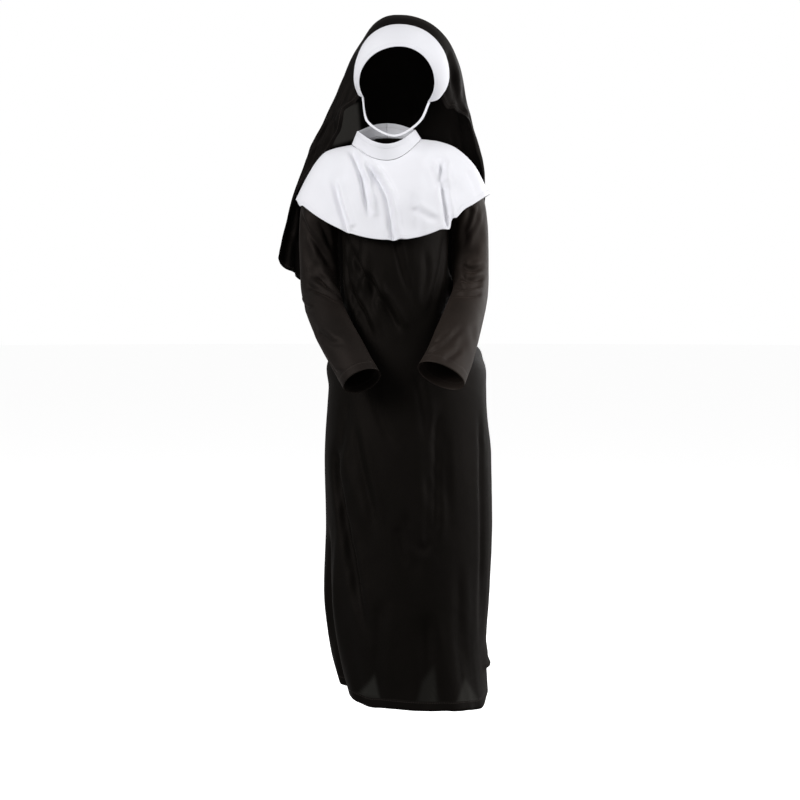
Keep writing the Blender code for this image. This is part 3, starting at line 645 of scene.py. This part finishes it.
leftSleeve = {
    "hems": ["lower"],
    "ring": 16,
    "fineRows": 150,
    "fineColumns": 112,
    "wall": 1.4,
    "thickness": 0.7,
    "creases": [
        (4.9, 6, 0.5,
         [(-158, -5, -105), (-148, -22, -134), (-132, -30, -160), (-115, -28, -184), (-98, -24, -219)]),
        (4.1, 5, 0.5, [(-128, -34, -120), (-110, -34, -150), (-98, -20, -180)]),
        (4.9, 5, 0.6, [(-130, -30, -214), (-112, -44, -232), (-96, -52, -250), (-84, -60, -262)]),
        (4.1, 5, 0.6, [(-140, -20, -230), (-124, -50, -252), (-106, -66, -262), (-90, -76, -264)]),
        (3.8, 4, 0.6, [(-146, -20, -258), (-134, -50, -272), (-118, -72, -280)]),
        (3.0, 5, 0.4, [(-150, 0, -270), (-152, 20, -262), (-140, 30, -250)]),
        (3.4, 6, 0.4, [(-118, -100, -310), (-96, -122, -330), (-72, -140, -344)]),
        (2.6, 5, 0.4, [(-100, -120, -350), (-80, -140, -372), (-60, -160, -384)]),
        (3.4, 6, 0.4, [(-140, 40, -110), (-120, 44, -150), (-104, 36, -190)]),
        (3.0, 6, 0.4, [(-150, 36, -170), (-130, 40, -210), (-110, 30, -240)]),
        (3.0, 6, 0.4, [(-150, 20, -280), (-134, 0, -310), (-110, -20, -330)]),
    ],
}
rightSleeve = {
    "hems": ["lower"],
    "ring": 16,
    "fineRows": 150,
    "fineColumns": 112,
    "wall": 1.4,
    "thickness": 0.7,
    "creases": [
        (4.9, 6, 0.5, [(138, -35, -96), (134, -35, -115), (126, -32, -138), (117, -24, -166)]),
        (4.1, 5, 0.5, [(150, -24, -96), (142, -29, -125), (131, -31, -147), (119, -25, -176)]),
        (4.0, 4.5, 0.9, [(120, -30, -196), (128, -38, -204), (142, -36, -208), (156, -20, -202)]),
        (4.4, 4.5, 0.9, [(116, -40, -214), (128, -50, -226), (144, -46, -228), (160, -30, -218)]),
        (4.0, 4.5, 0.9, [(112, -50, -240), (124, -66, -244), (140, -62, -240), (156, -44, -230)]),
        (3.4, 4, 0.8, [(110, -66, -258), (124, -80, -258), (142, -74, -252), (154, -60, -246)]),
        (3.6, 5, 0.5, [(58, -160, -352), (80, -164, -338), (105, -149, -317), (122, -134, -305)]),
        (2.8, 4, 0.4, [(68, -156, -330), (84, -152, -322), (98, -140, -308)]),
        (3.2, 5, 0.4, [(84, -176, -364), (104, -165, -348), (120, -154, -334)]),
        (3.6, 6, 0.4, [(144, 42, -110), (124, 46, -150), (110, 38, -190)]),
        (3.2, 6, 0.4, [(158, 36, -160), (138, 42, -200), (118, 30, -236)]),
        (3.2, 6, 0.4, [(160, 20, -270), (150, 0, -300), (130, -20, -320)]),
    ],
}
shoulderCape = {
    "hems": ["lower"],
    "columns": 40,
    "fineRows": 84,
    "fineColumns": 300,
    "wall": 1.4,
    "thickness": 0.8,
    "pulls": [
        ((93, -86, -136), (12, 24, 14), (5, -3, -3)),  # the hem's fold at the right: its front lobe
        ((102, -82, -124), (11, 24, 12), (-3, 4, 6)),  # and the notch beside it
        ((-160, -26, -91), (12, 20, 12), (1, -4, -6)),  # the curled corner at the left
        ((168, 0, -76), (12, 24, 12), (3, 0, 2)),
    ],
    "creases": [
        (8.0, 5.5, 0.8,
         [(-72, -19, 3), (-59, -51, -28), (-50, -62, -51), (-41, -82, -98), (-38, -90, -125)]),
        (8.0, 5.5, 0.8,
         [(-50, -47, -20), (-23, -69, -57), (-8, -83, -90), (2, -99, -151), (4, -102, -170)]),
        (6.6, 5.5, 0.7, [(-102, -50, -48), (-89, -71, -94), (-77, -90, -140), (-74, -94, -165)]),
        (3.4, 5.5, 0.6, [(68, -50, -25), (76, -62, -55), (80, -68, -75)]),
        (7.6, 5.5, 0.7,
         [(88, -36, -12), (85, -56, -47), (88, -63, -71), (95, -83, -130), (97, -86, -150)]),
        (3.0, 5.5, 0.6, [(35, -86, -101), (56, -88, -115), (84, -87, -128)]),
        (2.6, 8, 0.3, [(30, -80, -70), (40, -92, -120), (44, -98, -160)]),
        (2.8, 5, 0.6, [(-64, -42, -6), (-34, -60, -40), (-16, -70, -60)]),
        (2.2, 8, 0.4, [(128, -30, -30), (142, -36, -66), (148, -42, -92)]),
        (3.8, 8, 0.4, [(60, 62, -20), (74, 78, -60), (84, 92, -110), (88, 98, -150)]),
        (3.8, 8, 0.4, [(-60, 60, -20), (-76, 76, -60), (-90, 90, -110), (-94, 94, -150)]),
        (3.0, 8, 0.4, [(26, 72, -10), (34, 90, -60), (38, 102, -130)]),
        (3.0, 8, 0.4, [(-34, 70, -10), (-42, 88, -60), (-44, 102, -130)]),
    ],
}
standCollar = {
    "hems": ["upper"],
    "columns": 28,
    "fineRows": 24,
    "fineColumns": 190,
    "wall": 1.4,
    "thickness": 0.8,
    "creases": [
        (0.9, 5, 0.3, [(-58, -10, 28), (-50, -34, 8), (-44, -44, -8)]),
    ],
}
longVeil = {
    "hems": ["lower", "first", "last"],
    "columns": 36,
    "fineRows": 220,
    "fineColumns": 190,
    "wall": 1.2,
    "thickness": 0.6,
    "pulls": [
        ((116, -4, 90), (44, 34, 46), (-13, 5, -15)),  # the front edge runs down from the coif's end
        ((108, 2, 76), (24, 30, 24), (0, 0, -6)),
        ((-76, -10, 86), (20, 20, 24), (7, 2, -7)),
        ((-196, 84, -196), (26, 40, 40), (-6, 0, -4)),  # lower corner at the left
    ],
    # painted backlight on the inside of the veil's back, as if lit through the cloth from behind
    "paintedBacklightInside": [(1.0, [(-100, 90), (-58, 96), (-52, 30), (-112, 10)])],
    "creases": [
        (3.4, 7, 0.4, [(92, -30, 168), (100, -22, 146), (106, -14, 120), (110, -8, 98)]),
        (4.2, 7, 0.4, [(-72, -2, 130), (-92, 6, 70), (-108, 14, 22)]),
        (3.5, 6, 0.5, [(-70, 6, 150), (-100, 20, 70), (-136, 32, -2), (-150, 40, -40)]),
        (4.5, 6, 0.5, [(-168, 70, -80), (-170, 80, -130), (-171, 93, -175)]),
        (3.2, 5, 0.5, [(-176, 78, -130), (-183, 88, -180), (-186, 90, -215)]),
        (3.8, 7, 0.4, [(99, -28, 152), (118, 0, 90), (140, 34, 30), (155, 60, -20)]),
        (3.2, 8, 0.4, [(-30, 100, 120), (-40, 106, 20), (-46, 112, -90), (-50, 118, -250)]),
        (3.2, 8, 0.4, [(40, 98, 120), (44, 104, 20), (46, 108, -90), (50, 116, -250)]),
        (2.9, 8, 0.4, [(-100, 80, 60), (-118, 84, -40), (-126, 92, -150), (-130, 100, -250)]),
        (2.9, 8, 0.4, [(100, 80, 60), (112, 84, -40), (118, 92, -150), (120, 100, -250)]),
    ],
}
coifBand = {
    "hems": ["upper", "lower"],
    "columns": 36,
    "fineRows": 44,
    "fineColumns": 220,
    "wall": 1.4,
    "thickness": 0.9,
    "creases": [],
}

unevenness = {"broad": 0.25, "broadCell": 26.0, "fine": 0.12, "fineCell": 11.0}


def dressedGrid(nodeName, look, around=False):
    # The node's sheet, refined, with its creases and a faint natural unevenness
    columns = look["ring"] if around else look["columns"]
    grid = clothGrid(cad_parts[nodeName], look["wall"], columns, around)
    grid = refined(grid, look["fineRows"], look["fineColumns"], around)
    grid = pulled(grid, look.get("pulls", []))
    normals = gridNormals(grid, around)
    height = creaseHeights(grid, normals, look["creases"])
    broad = unevenness["broad"] * softNoise(grid, unevenness["broadCell"], 7)
    fine = unevenness["fine"] * softNoise(grid, unevenness["fineCell"], 8)
    height += broad + fine
    if "seamFade" in look:
        fromSeam = np.linalg.norm(np.diff(grid, axis=1, prepend=grid[:, :1]), axis=2).cumsum(axis=1)
        fromSeam = np.minimum(fromSeam, fromSeam[:, -1:] - fromSeam)
        height *= smoothStep(fromSeam / look["seamFade"])
    grid = grid + normals * height[..., None]
    normals = gridNormals(grid, around)
    if "allowance" in look:
        # the sides run on under the next piece, so that no light shows through the seam
        for side, inner in ((0, 1), (-1, -2)):
            onward = grid[:, side] - grid[:, inner]
            onward /= np.linalg.norm(onward, axis=1, keepdims=True)
            flap = grid[:, side] + look["allowance"] * onward - look["allowanceDrop"] * normals[:, side]
            parts = (flap[:, None], grid) if side == 0 else (grid, flap[:, None])
            grid = np.concatenate(parts, axis=1)
            ends = normals[:, side][:, None]
            normals = np.concatenate((ends, normals) if side == 0 else (normals, ends), axis=1)
    return grid, normals


def sewnPiece(name, nodeName, look, material, around=False):
    grid, normals = dressedGrid(nodeName, look, around)
    piece = clothShell(name, grid, normals, look, material, around)
    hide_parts(nodeName)
    print("made", name, grid.shape)
    return piece


frontPiece = sewnPiece("gown_front_cloth", "gown_front", gownFront, blackGownKnit)
backPiece = sewnPiece("gown_back_cloth", "gown_back", gownBack, blackGownKnit)
leftPiece = sewnPiece(
    "sleeve_left_cloth", "sleeve_left", leftSleeve, litSleeveMaterial, around=True
)
rightPiece = sewnPiece(
    "sleeve_right_cloth", "sleeve_right", rightSleeve, litRightSleeveMaterial, around=True
)
capePiece = sewnPiece("cape_cloth", "cape", shoulderCape, whiteCapeKnit)
collarPiece = sewnPiece(
    "collar_stand_cloth", "collar_stand", standCollar, whiteCapeKnit
)
veilPiece = sewnPiece("veil_cloth", "veil", longVeil, blackVeilKnit)
coifPiece = sewnPiece("coif_band_cloth", "coif_band", coifBand, whiteCapeKnit)
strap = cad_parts["chin_strap"]
strap.data.materials.clear()
strap.data.materials.append(whiteCapeKnit)
print("pieces made")


stage = {
    "floorHeight": -1088.0,
    "floorRadius": 30000.0,
    "cameraPlace": (0.014, -3.0, -0.26),
    "cameraPitch": -3.32,
    "lens": 77.13,
    "keyEnergy": 16.0,
    "fillEnergy": 62.0,
    "sideEnergy": 27.0,
    "backEnergy": 26.0,
    "skyStrength": 0.29,
    "floorGlow": 0.7,
    # place, target and size in metres
    "key": ((1.6, -1.35, 1.25), (0, 0, -0.2), 1.2),
    "fill": ((-1.9, -1.9, 1.0), (0, 0, -0.1), 1.2),
    "side": ((2.0, -0.2, 0.15), (0, 0, -0.25), 1.0),
    "back": ((1.7, 1.7, 0.3), (0, 0, -0.4), 1.4),
}


def floorDisc():
    mesh = bpy.data.meshes.new("floor")
    radius = stage["floorRadius"] * millimetre
    height = stage["floorHeight"] * millimetre
    turns = np.arange(64) * 2 * math.pi / 64
    rim = [(radius * math.cos(t), radius * math.sin(t), height) for t in turns]
    mesh.from_pydata(rim, [], [list(range(64))])
    floor = bpy.data.objects.new("floor", mesh)
    material = bpy.data.materials.new("pale_floor")
    material.use_nodes = True
    shader = material.node_tree.nodes["Principled BSDF"]
    shader.inputs["Base Color"].default_value = linearColour("#f8f8f8")
    shader.inputs["Emission Color"].default_value = (1, 1, 1, 1)  # lit from below, as a white studio sweep
    shader.inputs["Emission Strength"].default_value = stage["floorGlow"]
    shader.inputs["Roughness"].default_value = 0.9
    mesh.materials.append(material)
    bpy.context.scene.collection.objects.link(floor)
    floor.visible_diffuse = floor.visible_glossy = False  # it lights nothing, so the skirt stays dark


def softLamp(name, place, target, size, energy):
    lamp = bpy.data.lights.new(name, "AREA")
    lamp.shape = "SQUARE"
    lamp.size = size
    lamp.energy = energy
    holder = bpy.data.objects.new(name, lamp)
    holder.location = place
    holder.rotation_euler = (Vector(target) - Vector(place)).to_track_quat("-Z", "Y").to_euler()
    bpy.context.scene.collection.objects.link(holder)


floorDisc()
for lampName in ("key", "fill", "side", "back"):
    softLamp(lampName, *stage[lampName], stage[lampName + "Energy"])
world = bpy.data.worlds.new("studio")
bpy.context.scene.world = world
world.use_nodes = True
backdrop = world.node_tree.nodes["Background"]
backdrop.inputs["Color"].default_value = (1, 1, 1, 1)
seen = addNode(world.node_tree, "ShaderNodeLightPath").outputs["Is Camera Ray"]
strengthInputs = {"Value": seen, "To Min": stage["skyStrength"]}  # white to the eye, dim as a light
strength = addNode(world.node_tree, "ShaderNodeMapRange", strengthInputs)
world.node_tree.links.new(strength.outputs["Result"], backdrop.inputs["Strength"])
bpy.context.scene.view_settings.view_transform = "Standard"

lensData = bpy.data.cameras.new("camera")
lensData.lens = stage["lens"]
lensData.sensor_width = 36.0
camera = bpy.data.objects.new("camera", lensData)
camera.location = stage["cameraPlace"]
camera.rotation_euler = (math.radians(90 + stage["cameraPitch"]), 0, 0)
bpy.context.scene.collection.objects.link(camera)
bpy.context.scene.camera = camera
print("stage made")
